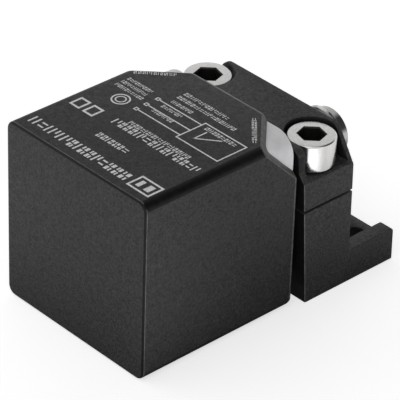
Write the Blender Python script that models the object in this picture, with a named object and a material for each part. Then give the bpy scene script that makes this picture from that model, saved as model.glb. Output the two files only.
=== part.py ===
"""Inductive proximity sensor with a 40 mm cube head, held in a two-screw clamp bracket.

Frame: metres, +Z up, +X to the right seen from the sensing face, the sensing face towards -Y.
The origin lies on the bracket's mounting face, midway between its two mounting slots.

Bodies: the clamp base stands still; the head turns in it about the neck's axis; the clamp cap
lifts off the base along +Z; each clamp screw turns about its own vertical axis on the cap.
"""
import math

import bmesh
import bpy
from mathutils import Vector

MM = 0.001
GAP = 0.3 * MM                 # air left between neighbouring pieces

# Cube head
HEAD_HALF = 20.0 * MM          # half of the 40 mm width and height
HEAD_DEPTH = 39.35 * MM
HEAD_EDGE_R = 2.0 * MM         # rounding of the four long edges
FACE_BEVEL = 0.55 * MM         # small bevel around the sensing face
FACE_WALL = 1.6 * MM
SIDE_WALL = 1.4 * MM
CORNER_CUT = 10.4 * MM         # leg of the cut that opens each of the two top rear corners
AXIS_Z = 20.1 * MM             # height of the neck's axis over the mounting face

# Clamp bracket
CLAMP_HALF_BOTTOM = 20.95 * MM # half width at the mounting face
CLAMP_HALF_SEAT = 20.5 * MM    # half width at the screw seats
CLAMP_REAR_Y = -6.6 * MM
CLAMP_FRONT_BOTTOM_Y = -18.7 * MM
CLAMP_FRONT_SEAT_Y = -20.2 * MM
CLAMP_TOP_Z = 34.95 * MM
SPLIT_Z = 21.5 * MM            # middle of the joint between base and cap
SPLIT_GAP = 0.4 * MM
BLOCK_BEVEL = 0.5 * MM

# Cap shoulders and the front walls of the screw pockets
SHOULDER_TOP_X = 14.4 * MM     # where the rear shoulder leaves the flat top
SHOULDER_R = 2.6 * MM          # rounding there
SHOULDER_SLOPE = 58.0          # degrees below level
WALL_HALF = 19.0 * MM          # half width of the pocket's front wall
WALL_CORNER_R = 2.2 * MM
LEDGE_HEIGHT = 1.2 * MM        # sloping ledge beside that wall

# Foot with its two mounting slots
FOOT_END_Y = 6.0 * MM
FOOT_THICKNESS = 4.7 * MM
RIB_HEIGHT = 7.4 * MM
RIB_WIDTH = 3.4 * MM
RIB_END_R = 0.9 * MM
SLOT_X = 14.5 * MM
SLOT_WIDTH = 5.3 * MM
SLOT_LENGTH = 7.3 * MM

# Clamp screws, M6 socket head, and their threaded inserts
SCREW_X = 14.86 * MM
SCREW_Y = -13.11 * MM
SCREW_R = 3.0 * MM
SCREW_HEAD_R = 5.0 * MM
SCREW_HEAD_H = 6.0 * MM
SCREW_HEAD_BEVEL = 0.3 * MM
SCREW_LENGTH = 25.0 * MM
SOCKET_FLATS = 5.0 * MM
SOCKET_DEPTH = 3.0 * MM
SOCKET_TURN = 46.0             # degrees from +X to the hexagon's first corner
SEAT_Z = 28.05 * MM
POCKET_R = 5.5 * MM
INSERT_R = 4.2 * MM
INSERT_FLANGE_R = 5.0 * MM
INSERT_FLANGE_H = 1.2 * MM
INSERT_BOTTOM_Z = 0.5 * MM
INSERT_TOP_Z = 12.0 * MM

# Neck behind the head and the M12 connector in it
NECK_R = 9.3 * MM
NECK_BORE_R = 6.3 * MM
NECK_END_Y = -5.4 * MM
NECK_GROOVE_R = 8.1 * MM
NECK_GROOVE_WIDTH = 2.7 * MM
CLAMP_RIB_R = 8.5 * MM         # inner radius of the rib that stands in the neck's groove
CLAMP_RIB_WIDTH = 1.9 * MM
THREAD_R = 6.0 * MM
LEAD_IN_R = 5.15 * MM          # plain end of the shell in front of its rear thread
LEAD_IN_LENGTH = 2.0 * MM
SHELL_BORE_R = 4.6 * MM
SHELL_FLANGE_R = 7.8 * MM
SHELL_FRONT_Y = -13.0 * MM
FLANGE_FRONT_Y = -3.7 * MM
FLANGE_REAR_Y = -2.2 * MM
SHELL_END_Y = 7.9 * MM
INSERT_FACE_Y = -0.6 * MM
PIN_R = 0.5 * MM
PIN_CIRCLE_R = 2.55 * MM
PIN_TIP_Y = 6.8 * MM
PIN_TAIL = 4.0 * MM            # how far the pins reach into the neck in front of the shell
CODING_SLOT = (1.2 * MM, 0.9 * MM, 3.0 * MM)   # width, depth, length
SEAL_SECTION_R = 0.55 * MM
POTTING_LENGTH = 3.7 * MM

# Inside the head
FRAME_HALF = HEAD_HALF - SIDE_WALL - GAP
FRAME_WALL = 1.7 * MM
FRAME_DEPTH = 12.2 * MM
FRAME_CORNER_R = 4.6 * MM      # at the rear; the corners are tight in front of the cuts
FRAME_TIGHT_R = 1.2 * MM
FRAME_TIGHT_END = 7.0 * MM     # from the rear to where the corners begin to open out
COVER_THICKNESS = 2.3 * MM
CORE_R = 15.0 * MM
CORE_DEPTH = 9.5 * MM
CORE_GROOVE = (6.6 * MM, 12.6 * MM)
CORE_GROOVE_DEPTH = 6.6 * MM
CORE_HOLE_R = 2.75 * MM
CARRIER_WALL = 1.5 * MM
CARRIER_FLOOR = 1.8 * MM
BOBBIN_WALL = 0.6 * MM
BOARD_THICKNESS = 1.6 * MM
BOARD_HALF = 14.5 * MM
BOARD_TOP_Z = AXIS_Z - 4.0 * MM
LED_BOARD_CORNER_R = 1.6 * MM
LED_SIZE = (3.2 * MM, 1.9 * MM)                # square side, depth
LED_PLACES = ((13.4 * MM, 9.0 * MM), (9.0 * MM, 13.4 * MM))
CHIP_SIZE = Vector((7.5, 10.3, 2.4)) * MM
TRANSISTOR_SIZE = Vector((6.5, 6.1, 2.3)) * MM
TRANSISTOR_PLACE = (9.5 * MM, 4.5 * MM)        # across and behind the board's middle
CAPACITOR_SIZE = Vector((3.2, 1.6, 1.6)) * MM
CAPACITOR_PLACE = (8.0 * MM, -5.0 * MM)

FACE_Y = SCREW_Y - 47.84 * MM
HEAD_REAR_Y = FACE_Y + HEAD_DEPTH
CORE_FRONT_Y = FACE_Y + FACE_WALL + 0.4 * MM
CARRIER_REAR_Y = CORE_FRONT_Y + CORE_DEPTH + GAP + CARRIER_FLOOR
LED_BOARD_Y = HEAD_REAR_Y - 7.3 * MM
CUTTER_REACH = 4.0 * MM        # how far a cutting shape runs past the surface it opens


# ---------------------------------------------------------------- outlines

def arc(centre, radius, start, end, steps):
    """Points on an arc, angles in degrees, both ends included."""
    angles = [math.radians(start + (end - start) * i / steps) for i in range(steps + 1)]
    return [(centre[0] + radius * math.cos(a), centre[1] + radius * math.sin(a)) for a in angles]


def polygon(centre, radius, sides, turn=0.0):
    """A regular polygon, or a circle where the sides are many; turn is in degrees."""
    return arc(centre, radius, turn, turn + 360.0, sides)[:-1]


def rounded_rect(half_u, half_v, radius, centre=(0.0, 0.0), steps=4):
    """A rectangle with round corners, counter-clockwise."""
    points = []
    for quarter, (su, sv) in enumerate(((1, 1), (-1, 1), (-1, -1), (1, -1))):
        corner = (centre[0] + su * (half_u - radius), centre[1] + sv * (half_v - radius))
        points += arc(corner, radius, 90 * quarter, 90 * quarter + 90, steps)
    return points


def head_outline(half, radius):
    """A rounded square about the neck's axis, in the X-Z plane."""
    return rounded_rect(half, half, radius, (0.0, AXIS_Z))


def mirrored(right_half):
    """Close an outline from its right half, listed from the bottom to the top."""
    return right_half + [(-x, z) for x, z in reversed(right_half)]


# ---------------------------------------------------------------- solids

def material(name, colour, roughness, metallic=0.0):
    made = bpy.data.materials.new(name)
    made.use_nodes = True
    shader = made.node_tree.nodes["Principled BSDF"]
    shader.inputs["Base Color"].default_value = (*colour, 1.0)
    shader.inputs["Roughness"].default_value = roughness
    shader.inputs["Metallic"].default_value = metallic
    return made


def finish_mesh(name, bm, finish):
    """Turn a bmesh into a linked object with its faces pointing out."""
    bmesh.ops.recalc_face_normals(bm, faces=bm.faces)
    mesh = bpy.data.meshes.new(name)
    bm.to_mesh(mesh)
    bm.free()
    if finish is not None:
        mesh.materials.append(finish)
    mesh.shade_smooth()
    mesh.set_sharp_from_angle(angle=math.radians(35))
    piece = bpy.data.objects.new(name, mesh)
    bpy.context.collection.objects.link(piece)
    return piece


def stack(name, rings, finish, ring_shaped=False):
    """Join equal rings of points with side faces; the ends are capped, or joined up in a loop."""
    bm = bmesh.new()
    rows = [[bm.verts.new(point) for point in ring] for ring in rings]
    pairs = list(zip(rows, rows[1:]))
    if ring_shaped:
        pairs.append((rows[-1], rows[0]))
    else:
        bm.faces.new(rows[0])
        bm.faces.new(rows[-1])
    count = len(rows[0])
    for low, high in pairs:
        for i in range(count):
            j = (i + 1) % count
            bm.faces.new((low[i], low[j], high[j], high[i]))
    return finish_mesh(name, bm, finish)


def along_y(outline, y):
    """Place an X-Z outline at y, which is a number or a function of the height z."""
    return [(x, y(z) if callable(y) else y, z) for x, z in outline]


def prism_y(name, outline, y_front, y_rear, finish):
    return stack(name, [along_y(outline, y_front), along_y(outline, y_rear)], finish)


def prism_z(name, outline, z_low, z_high, finish):
    return stack(name, [[(x, y, z) for x, y in outline] for z in (z_low, z_high)], finish)


def turned(name, profile, finish, x=0.0, y=0.0, z=AXIS_Z, upright=False, sides=40, hollow=False):
    """Turn a profile of (radius, place along the axis) about a Y or an upright axis.

    A hollow piece has a closed profile. A solid one starts and ends on flat end faces.
    """
    rings = []
    for radius, along in profile:
        circle = polygon((0.0, 0.0), radius, sides, 180.0 / sides)
        if upright:
            rings.append([(x + u, y + v, along) for u, v in circle])
        else:
            rings.append([(x + u, along, z + v) for u, v in circle])
    return stack(name, rings, finish, ring_shaped=hollow)


def block(name, low, high, finish):
    outline = [(low[0], low[1]), (high[0], low[1]), (high[0], high[1]), (low[0], high[1])]
    return prism_z(name, outline, low[2], high[2], finish)


def as_cutter(piece):
    piece.hide_render = True
    piece.display_type = 'WIRE'
    return piece


def combine(piece, other, operation):
    """Add a Boolean with another object, which becomes a guide that isn't a part itself."""
    as_cutter(other)
    boolean = piece.modifiers.new(other.name, 'BOOLEAN')
    boolean.operation = operation
    boolean.object = other
    boolean.solver = 'EXACT'


def bevel_edges(piece, width):
    bevel = piece.modifiers.new("edge_rounding", 'BEVEL')
    bevel.width = width
    bevel.segments = 2
    bevel.limit_method = 'ANGLE'
    bevel.angle_limit = math.radians(50)


# ---------------------------------------------------------------- cube head

def corner_cutter(side):
    """A block whose face lies on the plane that cuts off one top rear corner of the cube."""
    size = 3 * CORNER_CUT
    bpy.ops.mesh.primitive_cube_add(size=size)
    cutter = bpy.context.object
    cutter.name = f"corner_cut_{side:+d}"
    diagonal = Vector((side, 1, 1))
    normal = diagonal.normalized()
    corner = Vector((side * HEAD_HALF, HEAD_REAR_Y, AXIS_Z + HEAD_HALF))
    plane_centre = corner - diagonal * CORNER_CUT / 3
    cutter.rotation_mode = 'QUATERNION'
    cutter.rotation_quaternion = Vector((0, 0, 1)).rotation_difference(normal)
    cutter.location = plane_centre + normal * size / 2
    return cutter


def head_housing(finish):
    """Black cup: closed at the sensing face, open at the rear, its top rear corners cut away."""
    rings = [along_y(head_outline(HEAD_HALF - FACE_BEVEL, HEAD_EDGE_R - FACE_BEVEL), FACE_Y),
             along_y(head_outline(HEAD_HALF, HEAD_EDGE_R), FACE_Y + FACE_BEVEL),
             along_y(head_outline(HEAD_HALF, HEAD_EDGE_R), HEAD_REAR_Y)]
    housing = stack("head_housing", rings, finish)
    cavity = prism_y("housing_cavity", head_outline(HEAD_HALF - SIDE_WALL, FRAME_TIGHT_R + GAP),
                     FACE_Y + FACE_WALL, HEAD_REAR_Y + CUTTER_REACH, None)
    combine(housing, cavity, 'DIFFERENCE')
    for side in (-1, 1):
        combine(housing, corner_cutter(side), 'DIFFERENCE')
    return housing


def light_frame(finish):
    """Translucent square ring; where the cube's corners are cut, its own corners show, well rounded."""
    inner_half = FRAME_HALF - FRAME_WALL
    tight_inner_r = 0.3 * MM
    front_y, middle_y = HEAD_REAR_Y - FRAME_DEPTH, HEAD_REAR_Y - FRAME_TIGHT_END
    rings = [along_y(head_outline(FRAME_HALF, FRAME_TIGHT_R), front_y),
             along_y(head_outline(FRAME_HALF, FRAME_TIGHT_R), middle_y),
             along_y(head_outline(FRAME_HALF, FRAME_CORNER_R), HEAD_REAR_Y),
             along_y(head_outline(inner_half, FRAME_CORNER_R - FRAME_WALL), HEAD_REAR_Y),
             along_y(head_outline(inner_half, tight_inner_r), middle_y),
             along_y(head_outline(inner_half, tight_inner_r), front_y)]
    return stack("light_frame", rings, finish, ring_shaped=True)


def rear_cover(finish):
    """Square cover plate with the round neck, its groove and its through bore."""
    half = FRAME_HALF - FRAME_WALL - GAP
    plate = prism_y("rear_cover", head_outline(half, FRAME_CORNER_R - FRAME_WALL),
                    HEAD_REAR_Y - COVER_THICKNESS, HEAD_REAR_Y, finish)
    groove_front = SCREW_Y - NECK_GROOVE_WIDTH / 2
    groove_rear = SCREW_Y + NECK_GROOVE_WIDTH / 2
    profile = [(NECK_R, HEAD_REAR_Y - COVER_THICKNESS / 2), (NECK_R, groove_front),
               (NECK_GROOVE_R, groove_front), (NECK_GROOVE_R, groove_rear),
               (NECK_R, groove_rear), (NECK_R, NECK_END_Y)]
    combine(plate, turned("neck_stub", profile, None), 'UNION')
    bore = [(NECK_BORE_R, HEAD_REAR_Y - COVER_THICKNESS - CUTTER_REACH),
            (NECK_BORE_R, NECK_END_Y + CUTTER_REACH)]
    combine(plate, turned("neck_bore", bore, None), 'DIFFERENCE')
    return plate


def neck_potting(finish):
    """Cast resin plug that seals the neck in front of the connector."""
    front_y = HEAD_REAR_Y - COVER_THICKNESS + GAP
    profile = [(NECK_BORE_R - GAP, front_y), (NECK_BORE_R - GAP, front_y + POTTING_LENGTH)]
    return turned("neck_potting", profile, finish, sides=32)


# ---------------------------------------------------------------- sensing core

def ferrite_core(finish):
    """Half pot core, its ring groove open towards the sensing face."""
    front, rear = CORE_FRONT_Y, CORE_FRONT_Y + CORE_DEPTH
    groove_y = front + CORE_GROOVE_DEPTH
    inner, outer = CORE_GROOVE
    profile = [(CORE_HOLE_R, front), (inner, front), (inner, groove_y), (outer, groove_y),
               (outer, front), (CORE_R, front), (CORE_R, rear), (CORE_HOLE_R, rear)]
    return turned("ferrite_core", profile, finish, hollow=True)


def coil(bobbin_finish, copper):
    """The bobbin in the core's groove and the copper winding on it."""
    inner, outer = CORE_GROOVE[0] + GAP, CORE_GROOVE[1] - GAP
    wall = BOBBIN_WALL
    front, rear = CORE_FRONT_Y, CORE_FRONT_Y + CORE_GROOVE_DEPTH - GAP
    bobbin = [(inner, front), (outer, front), (outer, front + wall), (inner + wall, front + wall),
              (inner + wall, rear - wall), (outer, rear - wall), (outer, rear), (inner, rear)]
    wound = wall + GAP
    winding = [(inner + wound, front + wound), (outer - GAP, front + wound),
               (outer - GAP, rear - wound), (inner + wound, rear - wound)]
    return [turned("coil_bobbin", bobbin, bobbin_finish, hollow=True, sides=32),
            turned("coil_winding", winding, copper, hollow=True, sides=32)]


def core_carrier(finish):
    """Shallow plastic cup that holds the core from behind."""
    floor_y = CORE_FRONT_Y + CORE_DEPTH + GAP
    rim_y = CORE_FRONT_Y + CORE_DEPTH / 3
    rim = CORE_R + GAP
    outer = rim + CARRIER_WALL
    cup = turned("core_carrier", [(outer, rim_y), (outer, CARRIER_REAR_Y)], finish)
    hollow = turned("carrier_hollow", [(rim, rim_y - CUTTER_REACH), (rim, floor_y)], None)
    combine(cup, hollow, 'DIFFERENCE')
    return cup


# ---------------------------------------------------------------- electronics

def circuit_boards(finish):
    """The long main board and the square LED board behind it."""
    main = block("main_board", (-BOARD_HALF, CARRIER_REAR_Y + GAP, BOARD_TOP_Z - BOARD_THICKNESS),
                 (BOARD_HALF, LED_BOARD_Y - GAP, BOARD_TOP_Z), finish)
    half = FRAME_HALF - FRAME_WALL - 2 * GAP
    led_board = prism_y("led_board", head_outline(half, LED_BOARD_CORNER_R),
                        LED_BOARD_Y, LED_BOARD_Y + BOARD_THICKNESS, finish)
    window = [(NECK_BORE_R, LED_BOARD_Y - CUTTER_REACH), (NECK_BORE_R, LED_BOARD_Y + CUTTER_REACH)]
    combine(led_board, turned("led_board_window", window, None, sides=32), 'DIFFERENCE')
    return [main, led_board]


def board_parts(epoxy, ceramic):
    """The oscillator chip, two output transistors and two capacitors on the main board."""
    middle_y = (CARRIER_REAR_Y + LED_BOARD_Y) / 2
    layout = [("oscillator_chip", CHIP_SIZE, (0.0, 0.0), epoxy)]
    for number, side in ((1, -1), (2, 1)):
        layout.append((f"output_transistor_{number}", TRANSISTOR_SIZE,
                       (side * TRANSISTOR_PLACE[0], TRANSISTOR_PLACE[1]), epoxy))
        layout.append((f"filter_capacitor_{number}", CAPACITOR_SIZE,
                       (side * CAPACITOR_PLACE[0], CAPACITOR_PLACE[1]), ceramic))
    made = []
    for name, size, (x, y), finish in layout:
        centre = Vector((x, middle_y + y, BOARD_TOP_Z + GAP + size.z / 2))
        made.append(block(name, centre - size / 2, centre + size / 2, finish))
    return made


def status_leds(finish):
    """Two LEDs behind each top corner of the light frame."""
    half, depth = LED_SIZE[0] / 2, LED_SIZE[1]
    front_y = LED_BOARD_Y + BOARD_THICKNESS + GAP
    made = []
    for side in (1, -1):
        for across, up in LED_PLACES:
            low = (side * across - half, front_y, AXIS_Z + up - half)
            high = (side * across + half, front_y + depth, AXIS_Z + up + half)
            made.append(block(f"status_led_{len(made) + 1}", low, high, finish))
    return made


# ---------------------------------------------------------------- connector

def connector_shell(finish):
    """Nickel-plated M12 shell: its front thread sits in the neck, its rear thread takes the plug."""
    thread_end_y = SHELL_END_Y - LEAD_IN_LENGTH
    profile = [(SHELL_BORE_R, SHELL_FRONT_Y), (THREAD_R, SHELL_FRONT_Y), (THREAD_R, FLANGE_FRONT_Y),
               (SHELL_FLANGE_R, FLANGE_FRONT_Y), (SHELL_FLANGE_R, FLANGE_REAR_Y),
               (THREAD_R, FLANGE_REAR_Y), (THREAD_R, thread_end_y - (THREAD_R - LEAD_IN_R)),
               (LEAD_IN_R, thread_end_y), (LEAD_IN_R, SHELL_END_Y), (SHELL_BORE_R, SHELL_END_Y)]
    return turned("connector_shell", profile, finish, hollow=True)


def connector_seal(finish):
    """O-ring on the shell between the neck's end and the flange."""
    centre = (THREAD_R + GAP + SEAL_SECTION_R, (NECK_END_Y + FLANGE_FRONT_Y) / 2)
    return turned("connector_seal", polygon(centre, SEAL_SECTION_R, 8), finish, hollow=True, sides=32)


def pin_places():
    return polygon((0.0, AXIS_Z), PIN_CIRCLE_R, 4, 45.0)


def contact_carrier(finish):
    """Black insert with a hole for each contact pin and the coding slot in its rim."""
    radius = SHELL_BORE_R - GAP
    front_y = SHELL_FRONT_Y + GAP
    carrier = turned("contact_carrier", [(radius, front_y), (radius, INSERT_FACE_Y)], finish, sides=32)
    for number, (x, z) in enumerate(pin_places(), start=1):
        ends = [(PIN_R + GAP, front_y - CUTTER_REACH), (PIN_R + GAP, INSERT_FACE_Y + CUTTER_REACH)]
        combine(carrier, turned(f"pin_hole_{number}", ends, None, x=x, z=z, sides=12), 'DIFFERENCE')
    width, depth, length = CODING_SLOT
    slot_z = AXIS_Z + radius - depth
    slot = block("coding_slot", (-width / 2, INSERT_FACE_Y - length, slot_z),
                 (width / 2, INSERT_FACE_Y + CUTTER_REACH, slot_z + CUTTER_REACH), None)
    combine(carrier, slot, 'DIFFERENCE')
    return carrier


def contact_pins(finish):
    made = []
    for number, (x, z) in enumerate(pin_places(), start=1):
        profile = [(PIN_R, SHELL_FRONT_Y - PIN_TAIL), (PIN_R, PIN_TIP_Y - PIN_R),
                   (PIN_R * 0.8, PIN_TIP_Y - PIN_R * 0.4), (PIN_R * 0.35, PIN_TIP_Y)]
        made.append(turned(f"contact_pin_{number}", profile, finish, x=x, z=z, sides=12))
    return made


# ---------------------------------------------------------------- clamp bracket

def clamp_front(z):
    """The bracket's front face leans: its y at a height z."""
    share = z / SEAT_Z
    return CLAMP_FRONT_BOTTOM_Y + (CLAMP_FRONT_SEAT_Y - CLAMP_FRONT_BOTTOM_Y) * share


def clamp_half(z):
    """The bracket's sides taper a little: half its width at a height z."""
    return CLAMP_HALF_BOTTOM + (CLAMP_HALF_SEAT - CLAMP_HALF_BOTTOM) * z / SEAT_Z


def clamp_bore():
    """The bore for the neck, narrowed where the clamp's rib stands in the neck's groove."""
    front, rear = SCREW_Y - CLAMP_RIB_WIDTH / 2, SCREW_Y + CLAMP_RIB_WIDTH / 2
    bore_r = NECK_R + GAP
    ends = (HEAD_REAR_Y - CUTTER_REACH, CLAMP_REAR_Y + CUTTER_REACH)
    profile = [(bore_r, ends[0]), (bore_r, front), (CLAMP_RIB_R, front),
               (CLAMP_RIB_R, rear), (bore_r, rear), (bore_r, ends[1])]
    return turned("clamp_bore", profile, None)


def foot(finish):
    """Floor plate with a rib along each side, running back from the clamp."""
    half = clamp_half(0.0)
    right = [(half, 0.0), (clamp_half(RIB_HEIGHT), RIB_HEIGHT), (half - RIB_WIDTH, RIB_HEIGHT),
             (half - RIB_WIDTH, FOOT_THICKNESS)]
    return prism_y("foot", mirrored(right), CLAMP_REAR_Y - 2 * MM, FOOT_END_Y, finish)


def rib_end_cutter():
    """Rounds the rear top corner of both ribs."""
    centre = (FOOT_END_Y - RIB_END_R, RIB_HEIGHT - RIB_END_R)
    corner = (FOOT_END_Y + CUTTER_REACH, RIB_HEIGHT + CUTTER_REACH)
    outline = [(corner[0], centre[1]), corner, (centre[0], corner[1])]
    outline += arc(centre, RIB_END_R, 90, 0, 6)
    reach = CLAMP_HALF_BOTTOM + CUTTER_REACH
    rings = [[(x, y, z) for y, z in outline] for x in (-reach, reach)]
    return stack("rib_end_rounding", rings, None)


def mounting_slot(side):
    """Long hole through the foot's floor."""
    end_r = SLOT_WIDTH / 2
    straight = (SLOT_LENGTH - SLOT_WIDTH) / 2
    x = side * SLOT_X
    outline = arc((x, straight), end_r, 0, 180, 10) + arc((x, -straight), end_r, 180, 360, 10)
    return prism_z(f"mounting_slot_{side:+d}", outline, -CUTTER_REACH, RIB_HEIGHT + CUTTER_REACH, None)


def insert_hole(side):
    """Stepped hole from below for a threaded insert, then clearance for the screw."""
    shaft = SCREW_R + GAP
    shoulder_z = INSERT_TOP_Z + GAP
    flange_z = INSERT_BOTTOM_Z + INSERT_FLANGE_H + GAP
    profile = [(INSERT_FLANGE_R + GAP, -CUTTER_REACH), (INSERT_FLANGE_R + GAP, flange_z),
               (INSERT_R + GAP, flange_z), (INSERT_R + GAP, shoulder_z),
               (shaft, shoulder_z), (shaft, SPLIT_Z + CUTTER_REACH)]
    return turned(f"insert_hole_{side:+d}", profile, None, x=side * SCREW_X, y=SCREW_Y,
                  upright=True, sides=32)


def clamp_base(finish):
    """Fixed lower half of the clamp with the mounting foot."""
    top = SPLIT_Z - SPLIT_GAP / 2
    outline = mirrored([(clamp_half(0.0), 0.0), (clamp_half(top), top)])
    base = prism_y("clamp_base", outline, clamp_front, CLAMP_REAR_Y, finish)
    bevel_edges(base, BLOCK_BEVEL)
    combine(base, foot(finish), 'UNION')
    combine(base, clamp_bore(), 'DIFFERENCE')
    combine(base, rib_end_cutter(), 'DIFFERENCE')
    for side in (-1, 1):
        combine(base, mounting_slot(side), 'DIFFERENCE')
        combine(base, insert_hole(side), 'DIFFERENCE')
    return base


def cap_outline():
    """Front view of the cap: flat top, round-cornered walls and a sloping ledge beside them."""
    bottom = SPLIT_Z + SPLIT_GAP / 2
    corner = (WALL_HALF - WALL_CORNER_R, CLAMP_TOP_Z - WALL_CORNER_R)
    right = [(clamp_half(bottom), bottom), (CLAMP_HALF_SEAT, SEAT_Z), (WALL_HALF, SEAT_Z + LEDGE_HEIGHT)]
    return mirrored(right + arc(corner, WALL_CORNER_R, 0, 90, 4))


def shoulder_cutter(side):
    """Rounds and slopes the cap's shoulder behind the screw pocket."""
    centre = (SHOULDER_TOP_X, CLAMP_TOP_Z - SHOULDER_R)
    curve = arc(centre, SHOULDER_R, 90, 90 - SHOULDER_SLOPE, 5)
    slope = math.tan(math.radians(SHOULDER_SLOPE))
    run = 2 * CUTTER_REACH
    outline = curve + [(curve[-1][0] + run, curve[-1][1] - run * slope)]
    outline += [(outline[-1][0], CLAMP_TOP_Z + CUTTER_REACH), (SHOULDER_TOP_X, CLAMP_TOP_Z + CUTTER_REACH)]
    if side < 0:
        outline = [(-x, z) for x, z in outline]
    return prism_y(f"shoulder_cut_{side:+d}", outline, SCREW_Y + POCKET_R - GAP,
                   CLAMP_REAR_Y + CUTTER_REACH, None)


def screw_pocket(side):
    """Pocket for the screw head, round on the inner side and open to the outer side."""
    x = side * SCREW_X
    outer_x = side * (CLAMP_HALF_BOTTOM + CUTTER_REACH)
    inner = arc((x, SCREW_Y), POCKET_R, 90, 270, 16)
    if side < 0:
        inner = arc((x, SCREW_Y), POCKET_R, 90, -90, 16)
    outline = inner + [(outer_x, SCREW_Y - POCKET_R), (outer_x, SCREW_Y + POCKET_R)]
    return prism_z(f"screw_pocket_{side:+d}", outline, SEAT_Z, CLAMP_TOP_Z + CUTTER_REACH, None)


def cap_hole(side):
    shaft = [(SCREW_R + GAP, SPLIT_Z - CUTTER_REACH), (SCREW_R + GAP, SEAT_Z + CUTTER_REACH)]
    return turned(f"cap_hole_{side:+d}", shaft, None, x=side * SCREW_X, y=SCREW_Y,
                  upright=True, sides=32)


def clamp_cap(finish):
    """Upper half of the clamp with the two screw pockets."""
    cap = prism_y("clamp_cap", cap_outline(), clamp_front, CLAMP_REAR_Y, finish)
    combine(cap, bpy.data.objects["clamp_bore"], 'DIFFERENCE')
    for side in (-1, 1):
        combine(cap, shoulder_cutter(side), 'DIFFERENCE')
        combine(cap, screw_pocket(side), 'DIFFERENCE')
        combine(cap, cap_hole(side), 'DIFFERENCE')
    return cap


def threaded_insert(name, side, finish):
    """Flanged insert pressed in from below, bored to clear the screw's thread."""
    bore = SCREW_R + GAP
    flange_top = INSERT_BOTTOM_Z + INSERT_FLANGE_H
    profile = [(bore, INSERT_BOTTOM_Z), (INSERT_FLANGE_R, INSERT_BOTTOM_Z),
               (INSERT_FLANGE_R, flange_top), (INSERT_R, flange_top),
               (INSERT_R, INSERT_TOP_Z), (bore, INSERT_TOP_Z)]
    return turned(name, profile, finish, x=side * SCREW_X, y=SCREW_Y, upright=True, sides=32, hollow=True)


def clamp_screw(name, side, finish):
    """M6 socket-head screw, its head resting on the pocket's floor."""
    x = side * SCREW_X
    under_head = SEAT_Z + GAP
    top = under_head + SCREW_HEAD_H
    end = under_head - SCREW_LENGTH
    bevel = SCREW_HEAD_BEVEL
    profile = [(SCREW_R - bevel, end), (SCREW_R, end + bevel), (SCREW_R, under_head),
               (SCREW_HEAD_R, under_head), (SCREW_HEAD_R, top - bevel), (SCREW_HEAD_R - bevel, top)]
    screw = turned(name, profile, finish, x=x, y=SCREW_Y, upright=True, sides=36)
    corner_r = SOCKET_FLATS / math.sqrt(3)
    socket = prism_z(f"{name}_socket", polygon((x, SCREW_Y), corner_r, 6, SOCKET_TURN),
                     top - SOCKET_DEPTH, top + CUTTER_REACH, None)
    combine(screw, socket, 'DIFFERENCE')
    return screw


# ---------------------------------------------------------------- assembly

def pivot(name, location, pieces, parent=None):
    """Parent pieces to an empty on their joint's axis; they stay where they are."""
    empty = bpy.data.objects.new(name, None)
    empty.empty_display_size = 5 * MM
    bpy.context.collection.objects.link(empty)
    if parent is not None:
        location = Vector(location) - parent.location
        empty.parent = parent
    empty.location = location
    bpy.context.view_layer.update()
    for piece in pieces:
        piece.parent = empty
        piece.matrix_parent_inverse = empty.matrix_world.inverted()
    return empty


def build():
    for old in list(bpy.data.objects):
        bpy.data.objects.remove(old, do_unlink=True)

    black = material("black_housing_plastic", (0.035, 0.035, 0.036), 0.55)
    bracket_black = material("black_bracket_plastic", (0.032, 0.032, 0.033), 0.6)
    translucent = material("translucent_plastic", (0.62, 0.63, 0.62), 0.35)
    nickel = material("nickel_plated_metal", (0.72, 0.71, 0.69), 0.25, 1.0)
    brass = material("brass", (0.78, 0.6, 0.3), 0.35, 1.0)
    gold = material("gold_plated_contacts", (0.9, 0.68, 0.3), 0.25, 1.0)
    copper = material("copper_wire", (0.72, 0.33, 0.18), 0.35, 1.0)
    ferrite = material("ferrite", (0.06, 0.06, 0.065), 0.7)
    carrier = material("inner_carrier_plastic", (0.55, 0.53, 0.48), 0.5)
    board = material("circuit_board", (0.03, 0.16, 0.07), 0.45)
    epoxy = material("component_epoxy", (0.02, 0.02, 0.02), 0.5)
    ceramic = material("capacitor_ceramic", (0.5, 0.38, 0.24), 0.5)
    diode = material("status_led_lens", (0.85, 0.8, 0.45), 0.2)
    rubber = material("seal_rubber", (0.02, 0.02, 0.02), 0.8)

    head = [head_housing(black), light_frame(translucent), rear_cover(black), neck_potting(epoxy),
            ferrite_core(ferrite), core_carrier(carrier), connector_shell(nickel),
            connector_seal(rubber), contact_carrier(black)]
    head += coil(carrier, copper) + circuit_boards(board) + board_parts(epoxy, ceramic)
    head += status_leds(diode) + contact_pins(gold)

    clamp_base(bracket_black)
    cap = clamp_cap(bracket_black)
    screws = []
    for name, side in (("left", -1), ("right", 1)):
        threaded_insert(f"threaded_insert_{name}", side, brass)
        screws.append((name, side, clamp_screw(f"clamp_screw_{name}", side, nickel)))

    pivot("head_turn_axis", (0.0, SCREW_Y, AXIS_Z), head)
    cap_guide = pivot("cap_lift_guide", (0.0, SCREW_Y, SPLIT_Z), [cap])
    for name, side, screw in screws:
        pivot(f"screw_axis_{name}", (side * SCREW_X, SCREW_Y, SEAT_Z + GAP), [screw], cap_guide)


build()
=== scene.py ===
"""Looks of the cube-head proximity sensor: fine meshes, procedural materials, studio and camera.

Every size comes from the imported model's boxes or from a named value below, in metres.
+Z is up, the sensing face points to -Y, and the plug connector points to +Y.
"""
import math
import random

import bmesh
import bpy
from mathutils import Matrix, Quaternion, Vector

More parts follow.
